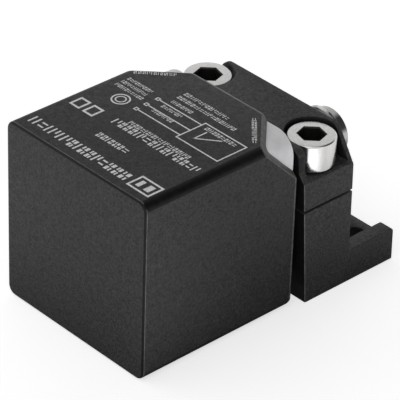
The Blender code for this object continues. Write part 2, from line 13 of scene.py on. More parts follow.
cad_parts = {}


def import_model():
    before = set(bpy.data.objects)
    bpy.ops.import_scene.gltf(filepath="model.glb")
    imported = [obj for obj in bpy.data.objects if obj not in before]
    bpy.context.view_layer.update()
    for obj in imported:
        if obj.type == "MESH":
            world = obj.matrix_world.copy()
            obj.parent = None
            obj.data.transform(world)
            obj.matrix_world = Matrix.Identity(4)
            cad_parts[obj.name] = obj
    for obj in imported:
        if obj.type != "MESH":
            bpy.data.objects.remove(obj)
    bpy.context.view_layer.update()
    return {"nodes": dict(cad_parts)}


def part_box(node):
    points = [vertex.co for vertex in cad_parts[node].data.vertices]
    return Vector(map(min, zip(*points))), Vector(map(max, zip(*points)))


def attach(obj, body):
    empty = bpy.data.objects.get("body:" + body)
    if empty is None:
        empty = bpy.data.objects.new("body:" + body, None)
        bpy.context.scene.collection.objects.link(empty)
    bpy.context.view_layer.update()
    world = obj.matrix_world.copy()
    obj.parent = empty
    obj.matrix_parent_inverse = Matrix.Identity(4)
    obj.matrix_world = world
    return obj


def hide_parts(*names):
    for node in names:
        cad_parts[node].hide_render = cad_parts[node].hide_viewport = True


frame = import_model()
MM = 0.001

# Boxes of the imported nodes
HEAD_LOW, HEAD_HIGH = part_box("head_housing")
LIGHT_LOW, LIGHT_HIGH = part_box("light_frame")
COVER_LOW, COVER_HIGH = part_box("rear_cover")
BASE_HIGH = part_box("clamp_base")[1]
CAP_LOW, CAP_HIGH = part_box("clamp_cap")
SCREW_LOW, SCREW_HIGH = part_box("clamp_screw_right")
SHELL_LOW, SHELL_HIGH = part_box("connector_shell")
SEAL_LOW, SEAL_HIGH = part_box("connector_seal")
CARRIER_LOW, CARRIER_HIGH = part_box("contact_carrier")
INSERT_LOW, INSERT_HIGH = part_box("threaded_insert_right")

# Places shared by several pieces
AXIS_Z = (HEAD_LOW.z + HEAD_HIGH.z) / 2
HEAD_HALF = (HEAD_HIGH.x - HEAD_LOW.x) / 2
FACE_Y, HEAD_REAR_Y = HEAD_LOW.y, HEAD_HIGH.y
SCREW_X = (SCREW_LOW.x + SCREW_HIGH.x) / 2
SCREW_Y = (SCREW_LOW.y + SCREW_HIGH.y) / 2

# Head
HEAD_EDGE_R = 2.0 * MM
FACE_EDGE_R = 0.55 * MM
FACE_WALL = 1.6 * MM
LIP_LENGTH, LIP_DROP = 0.7 * MM, 0.2 * MM
CORNER_CUT = 10.4 * MM
SIDE_WALL = LIGHT_LOW.x - HEAD_LOW.x - 0.3 * MM
LIGHT_HALF = HEAD_HALF - SIDE_WALL - 0.06 * MM
LIGHT_WALL = 1.7 * MM
LIGHT_INNER_R = 0.3 * MM
LIGHT_CORNER_R = 4.6 * MM      # at the rear; the corners are tight in front of the cuts
LIGHT_TIGHT_R = 1.4 * MM
LIGHT_TIGHT_END = 7.0 * MM     # from the rear to where the corners begin to open out
NECK_R = 9.3 * MM
NECK_BORE_R = 6.3 * MM
NECK_GROOVE_R = 8.1 * MM
NECK_GROOVE_WIDTH = 2.7 * MM
COVER_THICKNESS = 2.3 * MM

# Clamp
SEAT_Z = SCREW_HIGH.z - 6.3 * MM
CLAMP_HALF_SEAT = 20.5 * MM
CLAMP_FRONT_SEAT_Y = -20.2 * MM
CLAMP_FRONT_BOTTOM_Y = -18.7 * MM
CLAMP_REAR_Y = CAP_HIGH.y
CLAMP_TOP_Z = CAP_HIGH.z
CLAMP_RIB_R = 8.5 * MM
CLAMP_RIB_WIDTH = 1.9 * MM
SHOULDER_TOP_X = 14.4 * MM
SHOULDER_R = 2.6 * MM
SHOULDER_SLOPE = 58.0
WALL_HALF = 19.0 * MM
WALL_CORNER_R = 2.2 * MM
LEDGE_HEIGHT = 1.84 * MM
POCKET_R = 5.5 * MM
FOOT_END_Y = BASE_HIGH.y
FOOT_THICKNESS = 4.7 * MM
RIB_HEIGHT = 7.4 * MM
RIB_WIDTH = 3.4 * MM
RIB_END_R = 0.9 * MM
SLOT_X = 14.5 * MM
SLOT_WIDTH = 5.3 * MM
SLOT_LENGTH = 7.3 * MM
EDGE = 0.2 * MM                # small rounding of moulded edges
SHELL_EDGE_R = 0.16 * MM       # the same on the head's thin walls

# Screws and inserts
SCREW_R = 3.0 * MM
SCREW_HEAD_H = 6.0 * MM
SCREW_ROLL_R = 0.45 * MM       # rounding of the head's top edge
SCREW_PITCH = 1.0 * MM
SOCKET_FLATS = 5.0 * MM
SOCKET_DEPTH = 3.0 * MM
SOCKET_TURN = 46.0             # degrees from +X to the hexagon's first corner
INSERT_R = 4.2 * MM
INSERT_FLANGE_H = 1.2 * MM
CLEARANCE = 0.3 * MM

# Connector
PLUG_THREAD_R = 6.0 * MM
PLUG_LEAD_R = 5.15 * MM
PLUG_LEAD_LENGTH = 2.0 * MM
PLUG_BORE_R = 4.6 * MM
PLUG_PITCH = 1.0 * MM
PLUG_FLANGE_R = (SHELL_HIGH.x - SHELL_LOW.x) / 2
FLANGE_FRONT_Y = -3.7 * MM
FLANGE_REAR_Y = -2.2 * MM
PIN_R = 0.5 * MM
PIN_CIRCLE_R = 2.55 * MM
CODING_WIDTH, CODING_DEPTH, CODING_LENGTH = 1.2 * MM, 0.9 * MM, 3.0 * MM
CHAMFER = 0.25 * MM            # of the shell's turned edges

# Shared by several pieces
REACH = 4.0 * MM               # how far a cutting shape runs past the surface it opens
THREAD_DEPTH = 0.61            # share of the pitch
FLAT_SIDE = 0.985              # how nearly a face's normal follows a flat side's

# Print on the head's top, its layout in millimetres
PRINT_LIFT = 0.004 * MM
PRINT_THICKNESS = 0.02 * MM
MARK_LINE, MARK_GAP = 0.16, 0.24   # shares of a mark's height
MARK_WIDTHS = (0.5, 0.6, 0.7, 0.25)
MARK_KINDS = ("posts", "bars", "blocks", "blocks", "blocks")
PRINT_SEED = 11
SMALL_ROW = 1.0                # height of the smallest marks
PRINT_ROWS = (                 # start, length, height of the marks, angle
    ((-17.0, -58.3), 28.0, 2.5, 0.0),
    ((-4.7, -51.9), 9.3, 1.6, 0.0),
    ((-6.4, -46.5), 24.4, 2.0, 0.0),
    ((-4.0, -44.3), 16.9, 1.2, 0.0),
    *(((-16.5, -36.7 + 1.6 * row), 7.5, SMALL_ROW, 0.0) for row in range(3)),
    *(((-4.5, y), 6.0, SMALL_ROW, 0.0) for y in (-37.9, -35.4, -32.8)),
    ((7.0, -34.6), 9.0, 1.1, 0.0),
    ((-5.0, -30.8), 16.6, 1.1, 0.0),
    ((-5.0, -29.0), 12.6, 1.1, 0.0),
    ((-17.3, -31.0), 8.8, SMALL_ROW, 43.0),
    ((9.9, -24.8), 8.8, SMALL_ROW, -43.0),
)
PRINT_FRAMES = (               # x, y, width, height, line
    (11.9, -58.7, 6.1, 4.3, 0.45),
    (-16.9, -48.0, 2.9, 3.4, 0.5),
    (-13.1, -48.0, 2.9, 3.4, 0.5),
)
# x, y, width, height; then x, y, radius, line; then the diagram's lower left corner
PRINT_BARS = ((13.2, -57.6, 1.0, 2.1), (15.4, -57.6, 1.4, 2.1))
PRINT_RINGS = ((-11.5, -39.4, 2.0, 0.35), (-11.5, -39.4, 1.2, 0.3))
DIAGRAM_PLACE = (5.5, -40.6)

# Studio
FLOOR_HALF, FLOOR_DROP = 2.0, 0.05 * MM
FLOOR_GLOW = 0.64
# The floor's glow to the object: a painted shadow near it, brighter beyond, and a painted pool of light on
# the right
FLOOR_DARK, FLOOR_BRIGHT = 0.09, 0.75
SHADE_CENTRE, SHADE_REACH = (6 * MM, -25 * MM, 0.0), (30 * MM, 75 * MM)
SPOT_CENTRE, SPOT_REACH, SPOT_GAIN = (68 * MM, -52 * MM, 0.0), (5 * MM, 48 * MM), 1.1
ROOM_HORIZON, ROOM_TOP = 0.78, 0.42
DARK_TOWARD, DARK_EDGE, DARK_SHARE = (0.543, 0.579, 0.608), (0.74, 0.92), 0.08
KEY_POWER, FILL_POWER = 0.4, 0.3

# Camera
CAMERA_TURN, CAMERA_TILT, CAMERA_ROLL = (math.radians(a) for a in (46.427, 32.879, 1.9075))
CAMERA_TARGET = Vector((3.396, -31.546, 20.989)) * MM
CAMERA_DISTANCE = 566.76 * MM
CAMERA_LENS = 261.12


# ------------------------ outlines

def arc(centre, radius, start, end, steps):
    """Points on an arc, angles in degrees, both ends included."""
    angles = [math.radians(start + (end - start) * i / steps) for i in range(steps + 1)]
    return [(centre[0] + radius * math.cos(a), centre[1] + radius * math.sin(a)) for a in angles]


def circle(centre, radius, sides, turn=0.0):
    return arc(centre, radius, turn, turn + 360.0, sides)[:-1]


def rounded_rect(half_u, half_v, radius, centre=(0.0, 0.0), steps=10):
    """A rectangle with round corners, counter-clockwise."""
    points = []
    for quarter, (su, sv) in enumerate(((1, 1), (-1, 1), (-1, -1), (1, -1))):
        corner = (centre[0] + su * (half_u - radius), centre[1] + sv * (half_v - radius))
        points += arc(corner, radius, 90 * quarter, 90 * quarter + 90, steps)
    return points


def head_outline(half, radius):
    return rounded_rect(half, half, radius, (0.0, AXIS_Z))


def mirrored(right_half):
    """Close an outline from its right half, listed from the bottom to the top."""
    return right_half + [(-x, z) for x, z in reversed(right_half)]


# ------------------------ meshes

def new_piece(name, bm, finish=None):
    """A linked object from a bmesh, its faces pointing out."""
    bmesh.ops.recalc_face_normals(bm, faces=bm.faces)
    mesh = bpy.data.meshes.new(name)
    bm.to_mesh(mesh)
    bm.free()
    if finish is not None:
        mesh.materials.append(finish)
    piece = bpy.data.objects.new(name, mesh)
    bpy.context.scene.collection.objects.link(piece)
    return smooth(piece)


def smooth(piece, angle=32.0):
    piece.data.shade_smooth()
    piece.data.set_sharp_from_angle(angle=math.radians(angle))
    return piece


def stack(name, rings, finish=None, ring_shaped=False):
    """Join equal rings of points with side faces; the ends are capped, or joined up in a loop."""
    bm = bmesh.new()
    rows = [[bm.verts.new(point) for point in ring] for ring in rings]
    pairs = list(zip(rows, rows[1:]))
    if ring_shaped:
        pairs.append((rows[-1], rows[0]))
    else:
        bm.faces.new(rows[0])
        bm.faces.new(rows[-1])
    count = len(rows[0])
    for low, high in pairs:
        for i in range(count):
            j = (i + 1) % count
            bm.faces.new((low[i], low[j], high[j], high[i]))
    return new_piece(name, bm, finish)


def along_y(outline, y):
    """Place an X-Z outline at y, which is a number or a function of the height z."""
    return [(x, y(z) if callable(y) else y, z) for x, z in outline]


def prism_y(name, outline, y_front, y_rear, finish=None):
    return stack(name, [along_y(outline, y_front), along_y(outline, y_rear)], finish)


def prism_z(name, outline, z_low, z_high, finish=None):
    return stack(name, [[(x, y, z) for x, y in outline] for z in (z_low, z_high)], finish)


def thread_depth(turns):
    """Share of a thread's depth at a count of turns: crests and roots with sloping flanks."""
    phase = abs((turns % 1.0) * 2 - 1)
    return min(1.0, max(0.0, phase * 1.7 - 0.35))


def turned(name, profile, finish=None, x=0.0, y=0.0, z=AXIS_Z, upright=False, sides=96,
           hollow=False, thread=0.0, pitch=1.0 * MM):
    """Turn a profile of (radius, place along the axis, share of the thread cut there)."""
    rings = []
    for radius, along, *share in profile:
        depth = thread * share[0] if share else 0.0
        ring = []
        for i in range(sides):
            angle = 2 * math.pi * i / sides
            r = radius
            if depth:
                r -= depth * thread_depth(along / pitch - i / sides)
            u, v = r * math.cos(angle), r * math.sin(angle)
            ring.append((x + u, y + v, along) if upright else (x + u, along, z + v))
        rings.append(ring)
    return stack(name, rings, finish, ring_shaped=hollow)


def thread_rows(radius, start, end, pitch, run_out=0.6 * MM):
    """Rows of a threaded stretch, close enough to shape each turn, fading out at both ends."""
    count = int(round((end - start) / pitch * 8))
    rows = []
    for i in range(count + 1):
        along = start + (end - start) * i / count
        share = min(1.0, (along - start) / run_out, (end - along) / run_out)
        rows.append((radius, along, max(0.0, share)))
    return rows


def combine(piece, other, operation='DIFFERENCE'):
    """Apply a Boolean with another object at once, and remove that object.

    Faces that it leaves take its own finish, or the piece's when it has none.
    """
    if not other.data.materials:
        other.data.materials.append(piece.data.materials[0])
    boolean = piece.modifiers.new("boolean", 'BOOLEAN')
    boolean.operation = operation
    boolean.object = other
    boolean.solver = 'EXACT'
    boolean.material_mode = 'TRANSFER'
    bake(piece)
    bpy.data.objects.remove(other)


def bake(piece):
    """Replace a piece's mesh by its evaluated one, and drop the modifiers."""
    depsgraph = bpy.context.evaluated_depsgraph_get()
    mesh = bpy.data.meshes.new_from_object(piece.evaluated_get(depsgraph))
    piece.modifiers.clear()
    piece.data = mesh


def round_edges(piece, width=EDGE, segments=3, angle=30.0):
    """Round every edge that is sharper than the angle."""
    bm = bmesh.new()
    bm.from_mesh(piece.data)
    bmesh.ops.remove_doubles(bm, verts=bm.verts, dist=0.002 * MM)
    bmesh.ops.dissolve_limit(bm, angle_limit=math.radians(0.8), verts=bm.verts, edges=bm.edges)
    bm.to_mesh(piece.data)
    bm.free()
    bevel = piece.modifiers.new("rounding", 'BEVEL')
    bevel.width = width
    bevel.segments = segments
    bevel.limit_method = 'ANGLE'
    bevel.angle_limit = math.radians(angle)
    bevel.use_clamp_overlap = False
    bevel.miter_outer = 'MITER_ARC'
    bake(piece)
    return smooth(piece)


# ------------------------ materials

class Shader:
    """A material's node tree, with short calls for the nodes that the finishes below share."""

    def __init__(self, name, colour, roughness, metallic=0.0):
        self.material = bpy.data.materials.new(name)
        self.material.use_nodes = True
        self.tree = self.material.node_tree
        self.principled = self.tree.nodes["Principled BSDF"]
        self.set(self.principled, "Base Color", (*colour, 1.0))
        self.set(self.principled, "Roughness", roughness)
        self.set(self.principled, "Metallic", metallic)
        self.place = self.node("ShaderNodeTexCoord").outputs["Object"]
        self.material.diffuse_color = (*colour, 1.0)

    def node(self, kind, **settings):
        made = self.tree.nodes.new(kind)
        for key, value in settings.items():
            setattr(made, key, value)
        return made

    def set(self, node, key, value):
        """Give an input a value, or a link when the value is another node's output."""
        if isinstance(value, bpy.types.NodeSocket):
            self.tree.links.new(value, node.inputs[key])
        else:
            node.inputs[key].default_value = value

    def noise(self, size, detail=2.0, stretch=None, roughness=0.5):
        """Noise whose features are about the given size in metres."""
        place = self.place
        if stretch is not None:
            mapping = self.node("ShaderNodeMapping")
            self.set(mapping, "Vector", place)
            self.set(mapping, "Scale", stretch)
            place = mapping.outputs["Vector"]
        texture = self.node("ShaderNodeTexNoise")
        self.set(texture, "Vector", place)
        self.set(texture, "Scale", 1.0 / size)
        self.set(texture, "Detail", detail)
        self.set(texture, "Roughness", roughness)
        return texture.outputs["Fac"]

    def span(self, value, low, high, to_low, to_high):
        """Map a value's stretch onto another, clamped."""
        node = self.node("ShaderNodeMapRange")
        for key, number in (("Value", value), ("From Min", low), ("From Max", high),
                            ("To Min", to_low), ("To Max", to_high)):
            self.set(node, key, number)
        return node.outputs["Result"]

    def math(self, operation, a, b=0.0):
        node = self.node("ShaderNodeMath", operation=operation)
        for index, value in enumerate((a, b)):
            self.set(node, index, value)
        return node.outputs[0]

    def mix(self, share, first, second):
        """Mix two colours by a share."""
        node = self.node("ShaderNodeMix", data_type='RGBA')
        for index, value in zip((0, 6, 7), (share, first, second)):
            self.set(node, index, (*value, 1.0) if isinstance(value, tuple) else value)
        return node.outputs[2]

    def bump(self, height, distance, strength=1.0, under=None):
        node = self.node("ShaderNodeBump")
        self.set(node, "Height", height)
        self.set(node, "Distance", distance)
        self.set(node, "Strength", strength)
        if under is not None:
            self.set(node, "Normal", under)
        self.set(self.principled, "Normal", node.outputs["Normal"])
        return node.outputs["Normal"]

    def coordinate(self, axis):
        """One coordinate of the shaded point in the row frame, in metres."""
        node = self.node("ShaderNodeSeparateXYZ")
        self.set(node, "Vector", self.place)
        return node.outputs[axis]

    def finish(self, **inputs):
        """Set further inputs of the Principled shader, underscores standing for spaces."""
        for key, value in inputs.items():
            self.set(self.principled, key.replace("_", " "), value)
        return self.material


def shade(colour, factor):
    return tuple(min(1.0, c * factor) for c in colour)


def moulded_plastic(name, colour, grain=0.36 * MM, roughness=0.55, speckle=0.7, depth=0.02 * MM):
    """Black glass-filled moulding: a fine eroded grain, pale and dark specks and faint flow marks."""
    s = Shader(name, colour, roughness)
    specks = s.span(s.noise(grain, 3.0), 0.34, 0.68, 0.0, 1.0)
    flow = s.span(s.noise(9 * MM, 3.0, stretch=(1.0, 0.5, 1.6)), 0.3, 0.7, 0.0, 1.0)
    base = s.mix(specks, shade(colour, 1.0 - speckle), shade(colour, 1.0 + speckle))
    base = s.mix(s.math('MULTIPLY', flow, 0.18), base, shade(colour, 1.35))
    dust = s.span(s.noise(0.5 * MM, 1.0), 0.72, 0.8, 0.0, 0.35)
    base = s.mix(dust, base, shade(colour, 2.6))
    s.set(s.principled, "Base Color", base)
    rough = s.span(s.noise(grain * 2.5, 2.0), 0.3, 0.7, roughness - 0.08, roughness + 0.1)
    s.set(s.principled, "Roughness", rough)
    s.bump(s.noise(grain * 1.3, 4.0, roughness=0.65), depth)
    return s.finish(Specular_IOR_Level=0.42)


def polished_painted_light(name, colour):
    """The same moulding where the mould has no grain, in a tone given per use: near-black as painted shade
    and painted dark reflection, pale grey as painted highlight, and a paler tone on the corner cuts.
    """
    s = Shader(name, colour, 0.35)
    patchy_tone = s.span(s.noise(1.2 * MM, 4.0), 0.35, 0.65, 0.0, 1.0)
    s.set(s.principled, "Base Color", s.mix(patchy_tone, shade(colour, 0.75), shade(colour, 1.3)))
    s.set(s.principled, "Roughness", s.span(s.noise(0.8 * MM, 3.0), 0.3, 0.7, 0.3, 0.45))
    s.bump(s.noise(0.5 * MM, 3.0), 0.006 * MM)
    return s.finish(Specular_IOR_Level=0.25)


def milky_plastic(name):
    """Light-guide plastic: pale, satin, its tone clouded a little."""
    s = Shader(name, (0.5, 0.51, 0.51), 0.3)
    cloud = s.span(s.noise(2.2 * MM, 2.0), 0.3, 0.7, 0.0, 1.0)
    s.set(s.principled, "Base Color", s.mix(cloud, (0.84, 0.84, 0.86), (0.95, 0.95, 0.97)))
    s.bump(s.noise(0.5 * MM, 2.0), 0.01 * MM)
    return s.finish(Subsurface_Weight=0.35, Subsurface_Radius=(1.2 * MM, 1.2 * MM, 1.2 * MM),
                    Coat_Weight=0.25, Coat_Roughness=0.15)


def plated_metal(name, colour=(0.88, 0.87, 0.86), roughness=0.2, wear=0.1, streak_stretch=None):
    """Plating over turned or drawn metal: faint mottling, stretched into fine streaks; the upright streaks
    on the screw heads are painted reflection bands.
    """
    s = Shader(name, colour, roughness, 1.0)
    mottle = s.span(s.noise(0.6 * MM, 4.0, stretch=streak_stretch, roughness=0.6), 0.3, 0.7, 0.0, 1.0)
    s.set(s.principled, "Base Color", s.mix(mottle, shade(colour, 1.0 - wear), shade(colour, 1.05)))
    rough = s.span(s.noise(0.7 * MM, 2.0), 0.3, 0.7, roughness - 0.03, roughness + wear * 0.5)
    s.set(s.principled, "Roughness", rough)
    s.bump(s.noise(0.7 * MM, 1.0, stretch=streak_stretch), 0.001 * MM)
    return s.finish()


def dark_recess(name):
    """The socket's inner walls, painted dark as shade where hardly any light returns."""
    s = Shader(name, (0.03, 0.03, 0.028), 0.45, 0.6)
    s.set(s.principled, "Base Color", s.mix(s.noise(0.5 * MM), (0.012, 0.012, 0.011), (0.05, 0.048, 0.045)))
    s.bump(s.noise(0.15 * MM), 0.01 * MM)
    return s.finish()


def print_ink(name):
    """Pale pad print, thin enough in places for the moulding's grain to show through."""
    s = Shader(name, (0.8, 0.8, 0.79), 0.6)
    thin = s.span(s.noise(0.3 * MM, 3.0), 0.42, 0.66, 0.0, 0.6)
    s.set(s.principled, "Base Color", s.mix(thin, (0.97, 0.97, 0.96), (0.5, 0.5, 0.5)))
    s.bump(s.noise(0.16 * MM, 3.0), 0.008 * MM)
    return s.finish()


def brass_metal(name, colour=(0.72, 0.53, 0.24), roughness=0.3):
    """Machined brass, tarnished a little in patches."""
    s = Shader(name, colour, roughness, 1.0)
    tarnish = s.span(s.noise(1.6 * MM, 4.0), 0.45, 0.75, 0.0, 0.6)
    s.set(s.principled, "Base Color", s.mix(tarnish, colour, shade(colour, 0.55)))
    s.set(s.principled, "Roughness", s.span(s.noise(0.4 * MM), 0.3, 0.7, roughness - 0.06, roughness + 0.14))
    s.bump(s.noise(0.1 * MM, 2.0, stretch=(1.0, 1.0, 6.0)), 0.004 * MM)
    return s.finish()


def gold_metal(name):
    s = Shader(name, (0.95, 0.7, 0.3), 0.2, 1.0)
    s.set(s.principled, "Roughness", s.span(s.noise(0.2 * MM), 0.3, 0.7, 0.14, 0.3))
    s.bump(s.noise(0.1 * MM), 0.003 * MM)
    return s.finish()


def copper_winding(name):
    """Enamelled wire: a row of turns shows as fine ridges along the axis."""
    s = Shader(name, (0.62, 0.26, 0.12), 0.32, 1.0)
    turns = s.math('SINE', s.math('MULTIPLY', s.coordinate("Y"), 2 * math.pi / (0.25 * MM)))
    s.bump(turns, 0.05 * MM)
    tone = s.span(s.noise(1.5 * MM), 0.3, 0.7, 0.0, 1.0)
    s.set(s.principled, "Base Color", s.mix(tone, (0.45, 0.17, 0.08), (0.72, 0.33, 0.16)))
    return s.finish(Coat_Weight=0.6, Coat_Roughness=0.15)


def sintered(name, colour, roughness=0.7, grain=0.35 * MM):
    """Pressed and fired body: ferrite or ceramic, with pores."""
    s = Shader(name, colour, roughness)
    pores = s.span(s.noise(grain, 5.0, roughness=0.7), 0.35, 0.6, 0.0, 1.0)
    s.set(s.principled, "Base Color", s.mix(pores, shade(colour, 0.6), shade(colour, 1.25)))
    s.bump(s.noise(grain, 5.0, roughness=0.7), 0.03 * MM)
    return s.finish()


def board_laminate(name):
    """Solder mask over glass weave, with copper tracks showing as raised lines."""
    s = Shader(name, (0.02, 0.12, 0.05), 0.35)
    tracks = s.node("ShaderNodeTexBrick")
    s.set(tracks, "Vector", s.place)
    s.set(tracks, "Scale", 260.0)
    for key, tone in (("Color1", 0.0), ("Color2", 0.0), ("Mortar", 1.0)):
        s.set(tracks, key, (tone, tone, tone, 1.0))
    s.set(tracks, "Mortar Size", 0.06)
    s.set(s.principled, "Base Color", s.mix(tracks.outputs["Fac"], (0.012, 0.1, 0.04), (0.04, 0.24, 0.1)))
    s.bump(tracks.outputs["Fac"], 0.03 * MM)
    return s.finish(Coat_Weight=0.4, Coat_Roughness=0.2)


def cast_resin(name, colour=(0.02, 0.02, 0.021), roughness=0.38):
    s = Shader(name, colour, roughness)
    s.set(s.principled, "Base Color", s.mix(s.noise(1.4 * MM, 3.0), shade(colour, 0.7), shade(colour, 1.5)))
    s.bump(s.noise(0.6 * MM, 3.0), 0.02 * MM)
    return s.finish()


def led_lens(name):
    s = Shader(name, (0.85, 0.78, 0.4), 0.15)
    s.set(s.principled, "Base Color", s.mix(s.noise(1.0 * MM), (0.8, 0.72, 0.3), (0.9, 0.88, 0.6)))
    return s.finish(Transmission_Weight=0.4, Coat_Weight=0.5)


def seal_rubber(name):
    s = Shader(name, (0.018, 0.018, 0.018), 0.7)
    bloom = s.span(s.noise(1.2 * MM, 4.0), 0.45, 0.75, 0.0, 0.7)
    s.set(s.principled, "Base Color", s.mix(bloom, (0.015, 0.015, 0.015), (0.05, 0.05, 0.05)))
    s.bump(s.noise(0.2 * MM, 3.0), 0.02 * MM)
    return s.finish()


FINISH = {
    "housing_plastic": moulded_plastic("housing_plastic", (0.03, 0.0295, 0.029)),
    "bracket_plastic": moulded_plastic("bracket_plastic", (0.039, 0.0385, 0.038), grain=0.4 * MM),
    # Near-black: a painted dark reflection on the head's roundings, painted shade on the bracket's front
    # facing the head
    "polished_painted_light": polished_painted_light("polished_painted_light", (0.006, 0.006, 0.006)),
    # Near-black: painted shade on the walls around the screw heads
    "pocket_painted_shade": polished_painted_light("pocket_painted_shade", (0.01, 0.01, 0.01)),
    # Pale grey: a painted highlight on edges
    "edge_painted_highlight": polished_painted_light("edge_painted_highlight", (0.13, 0.13, 0.127)),
    "sawn_plastic": polished_painted_light("sawn_plastic", (0.065, 0.065, 0.063)),
    "light_plastic": milky_plastic("light_plastic"),
    # Upright streaks on the screw heads: painted reflection bands
    "nickel": plated_metal("nickel", streak_stretch=(1.0, 1.0, 0.08)),
    "plug_metal": plated_metal("plug_metal", (0.62, 0.615, 0.605), 0.16, streak_stretch=(1.0, 4.0, 1.0)),
    "socket": dark_recess("socket_recess"),
    "ink": print_ink("pad_print"),
    "brass": brass_metal("brass"),
    "gold": gold_metal("gold"),
    "copper": copper_winding("copper"),
    "ferrite": sintered("ferrite", (0.05, 0.05, 0.054)),
    "carrier_plastic": moulded_plastic("carrier_plastic", (0.5, 0.47, 0.41), speckle=0.08),
    "board": board_laminate("board"),
    "epoxy": cast_resin("epoxy"),
    "capacitor_ceramic": sintered("capacitor_ceramic", (0.45, 0.32, 0.19), 0.45),
    "led_lens": led_lens("led_lens"),
    "rubber": seal_rubber("rubber"),
}


# ------------------------ cube head

def corner_cutter(side):
    """A block whose face lies on the plane that cuts off one top rear corner of the cube."""
    size = 3 * CORNER_CUT
    bpy.ops.mesh.primitive_cube_add(size=size)
    cutter = bpy.context.object
    diagonal = Vector((side, 1, 1))
    normal = diagonal.normalized()
    corner = Vector((side * HEAD_HALF, HEAD_REAR_Y, AXIS_Z + HEAD_HALF))
    cutter.rotation_mode = 'QUATERNION'
    cutter.rotation_quaternion = Vector((0, 0, 1)).rotation_difference(normal)
    cutter.location = corner - diagonal * CORNER_CUT / 3 + normal * size / 2
    bpy.context.view_layer.update()
    return cutter


def rounded_front(half, radius, front_y, edge_r, steps=5):
    """Rings of a rounded square whose front edge is rolled over by a radius."""
    rings = []
    for i in range(steps + 1):
        angle = math.radians(90) * i / steps
        inset = edge_r * (1 - math.sin(angle))
        rings.append(along_y(head_outline(half - inset, max(radius - inset, 0.05 * MM)),
                             front_y + edge_r * (1 - math.cos(angle))))
    return rings


def polish(piece, finish, chosen):
    """Give a second finish to the faces that a test of their normal and centre chooses."""
    piece.data.materials.append(finish)
    index = len(piece.data.materials) - 1
    for face in piece.data.polygons:
        if chosen(face.normal, face.center):
            face.material_index = index
    return piece


def on_rounding(normal, _):
    """True off the cube's six flat sides and off the corner cuts."""
    flat = max(abs(n) for n in normal)
    cut = (abs(normal.x) + normal.y + normal.z) / math.sqrt(3)
    return flat < FLAT_SIDE and cut < FLAT_SIDE


def on_highlight_edge(normal, _):
    """True where a face edge's rounding runs out into a side, and on the thin lip at the rear."""
    side = max(abs(normal.x), abs(normal.z))
    return (-0.4 < normal.y < -0.05 and side > 0.9) or (0.1 < normal.y < 0.5 and side > 0.85)


def on_corner_cut(normal, _):
    return (abs(normal.x) + normal.y + normal.z) / math.sqrt(3) > FLAT_SIDE


def near_bracket_front(centre):
    return centre.y < clamp_front(centre.z) + EDGE


def facing_head(normal, centre):
    return normal.y < -0.9 and near_bracket_front(centre)


def on_front_corner(normal, centre):
    """True on the roundings between the bracket's front and its sides."""
    turned_out = -0.93 < normal.y < -0.25 and abs(normal.x) > 0.35 and abs(normal.z) < 0.2
    return turned_out and near_bracket_front(centre)


def head_shell():
    """Black cup with rolled face edges, open at the rear, its two top rear corners cut away."""
    rings = rounded_front(HEAD_HALF, HEAD_EDGE_R, FACE_Y, FACE_EDGE_R)
    rings.append(along_y(head_outline(HEAD_HALF, HEAD_EDGE_R), HEAD_REAR_Y - LIP_LENGTH))
    rings.append(along_y(head_outline(HEAD_HALF - LIP_DROP, HEAD_EDGE_R - LIP_DROP), HEAD_REAR_Y))
    shell = stack("head_shell", rings, FINISH["housing_plastic"])
    cavity = prism_y("cavity", head_outline(HEAD_HALF - SIDE_WALL, LIGHT_TIGHT_R),
                     FACE_Y + FACE_WALL, HEAD_REAR_Y + REACH)
    combine(shell, cavity)
    for side in (-1, 1):
        combine(shell, corner_cutter(side))
    round_edges(shell, SHELL_EDGE_R, angle=35)
    # The roundings are near-black: a painted dark reflection.
    polish(shell, FINISH["polished_painted_light"], on_rounding)
    # The ends of the face roundings and the rear lip are pale: a painted highlight.
    polish(shell, FINISH["edge_painted_highlight"], on_highlight_edge)
    return polish(shell, FINISH["sawn_plastic"], on_corner_cut)


def light_guide():
    """Milky square ring; where the shell's corners are cut, its own rounded corners show."""
    inner_half = LIGHT_HALF - LIGHT_WALL
    steps = 8
    outer, inner = [(LIGHT_LOW.y, LIGHT_TIGHT_R)], [(LIGHT_LOW.y, LIGHT_INNER_R)]
    for i in range(steps + 1):
        share = i / steps
        y = LIGHT_HIGH.y - LIGHT_TIGHT_END * (1 - share)
        swell = math.sin(math.radians(90) * share)
        outer.append((y, LIGHT_TIGHT_R + (LIGHT_CORNER_R - LIGHT_TIGHT_R) * swell))
        inner.append((y, max(LIGHT_INNER_R, outer[-1][1] - LIGHT_WALL)))
    rings = [along_y(head_outline(LIGHT_HALF, radius), y) for y, radius in outer]
    rings += [along_y(head_outline(inner_half, radius), y) for y, radius in reversed(inner)]
    return stack("light_guide", rings, FINISH["light_plastic"], ring_shaped=True)


def neck_plate():
    """Rear cover: square plate, round neck with its groove, and the through bore."""
    plate_half = (COVER_HIGH.x - COVER_LOW.x) / 2 + 0.2 * MM
    plate = prism_y("neck_plate", head_outline(plate_half, LIGHT_CORNER_R - LIGHT_WALL),
                    HEAD_REAR_Y - COVER_THICKNESS, HEAD_REAR_Y, FINISH["housing_plastic"])
    groove = (SCREW_Y - NECK_GROOVE_WIDTH / 2, SCREW_Y + NECK_GROOVE_WIDTH / 2)
    profile = [(NECK_R, HEAD_REAR_Y - COVER_THICKNESS / 2), (NECK_R, groove[0]),
               (NECK_GROOVE_R, groove[0]), (NECK_GROOVE_R, groove[1]), (NECK_R, groove[1]),
               (NECK_R, COVER_HIGH.y)]
    combine(plate, turned("stub", profile), 'UNION')
    bore = [(NECK_BORE_R, COVER_LOW.y - REACH), (NECK_BORE_R, COVER_HIGH.y + REACH)]
    combine(plate, turned("bore", bore))
    return round_edges(plate, SHELL_EDGE_R)


# ------------------------ clamp bracket

